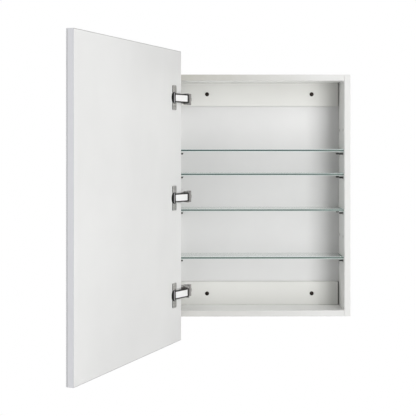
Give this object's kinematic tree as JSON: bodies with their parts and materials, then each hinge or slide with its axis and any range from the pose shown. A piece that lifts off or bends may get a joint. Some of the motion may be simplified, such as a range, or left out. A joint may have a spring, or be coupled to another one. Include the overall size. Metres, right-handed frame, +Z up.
{
  "type": "medicine cabinet",
  "caption": "Wall-hung medicine cabinet with a mirrored door on concealed hinges, glass shelves on plug-in supports and hanging rails for wall screws.",
  "frame": {"origin": "centre of the cabinet's wall side, on the outer face of its back panel", "axes": "+Z up, -Y out of the open front towards the room, +Y into the wall, +X to the right as seen from the room"},
  "size_m": [0.6855, 0.6998, 0.762],
  "materials": {
    "cabinet_white": "white melamine-faced board, satin",
    "back_white": "thin white faced board, matte",
    "rail_white": "warm white faced board, matte",
    "door_white": "white melamine-faced board, satin",
    "mirror_silver": "silvered flat glass with polished edges",
    "shelf_glass": "clear float glass with green ground edges",
    "hinge_nickel": "nickel-plated pressed steel",
    "pin_steel": "plain steel, turned",
    "support_metal": "dark plated steel",
    "screw_steel": "dark plated steel"
  },
  "bodies": {
    "cabinet": {"side_panel_left": "cabinet_white", "side_panel_right": "cabinet_white", "top_panel": "cabinet_white", "bottom_panel": "cabinet_white", "back_panel": "back_white", "mounting_rail_top": "rail_white", "mounting_rail_bottom": "rail_white", "wall_screw_top_left": "screw_steel", "wall_screw_top_right": "screw_steel", "wall_screw_bottom_left": "screw_steel", "wall_screw_bottom_right": "screw_steel", "glass_shelf_1": "shelf_glass", "glass_shelf_2": "shelf_glass", "glass_shelf_3": "shelf_glass", "glass_shelf_4": "shelf_glass", "shelf_support_1_front_left": "support_metal", "shelf_support_1_front_right": "support_metal", "shelf_support_1_rear_left": "support_metal", "shelf_support_1_rear_right": "support_metal", "shelf_support_2_front_left": "support_metal", "shelf_support_2_front_right": "support_metal", "shelf_support_2_rear_left": "support_metal", "shelf_support_2_rear_right": "support_metal", "shelf_support_3_front_left": "support_metal", "shelf_support_3_front_right": "support_metal", "shelf_support_3_rear_left": "support_metal", "shelf_support_3_rear_right": "support_metal", "shelf_support_4_front_left": "support_metal", "shelf_support_4_front_right": "support_metal", "shelf_support_4_rear_left": "support_metal", "shelf_support_4_rear_right": "support_metal", "hinge_mounting_plate_top": "hinge_nickel", "hinge_mounting_plate_middle": "hinge_nickel", "hinge_mounting_plate_bottom": "hinge_nickel", "hinge_arm_top": "hinge_nickel", "hinge_arm_middle": "hinge_nickel", "hinge_arm_bottom": "hinge_nickel", "arm_pin_top": "pin_steel", "arm_pin_middle": "pin_steel", "arm_pin_bottom": "pin_steel"},
    "hinge_links": {"hinge_link_top": "hinge_nickel", "hinge_link_middle": "hinge_nickel", "hinge_link_bottom": "hinge_nickel"},
    "door": {"door_panel": "door_white", "mirror_glass": "mirror_silver", "hinge_cup_top": "hinge_nickel", "hinge_cup_middle": "hinge_nickel", "hinge_cup_bottom": "hinge_nickel", "cup_pin_top": "pin_steel", "cup_pin_middle": "pin_steel", "cup_pin_bottom": "pin_steel", "cup_screw_top_upper": "screw_steel", "cup_screw_top_lower": "screw_steel", "cup_screw_middle_upper": "screw_steel", "cup_screw_middle_lower": "screw_steel", "cup_screw_bottom_upper": "screw_steel", "cup_screw_bottom_lower": "screw_steel"}
  },
  "joints": [
    {"name": "link_swing", "type": "hinge", "parent": "cabinet", "child": "hinge_links", "pos_m": [-0.19589, -0.12, 0], "axis": [0, 0, 1], "range_deg": [-52.04, 0]},
    {"name": "door_swing", "type": "hinge", "parent": "hinge_links", "child": "door", "pos_m": [-0.22998, -0.17344, 0], "axis": [0, 0, 1], "range_deg": [0, 163.03]}
  ],
  "couplings": [
    {"joint": "link_swing", "follows": "door_swing", "ratio": -0.31916}
  ]
}
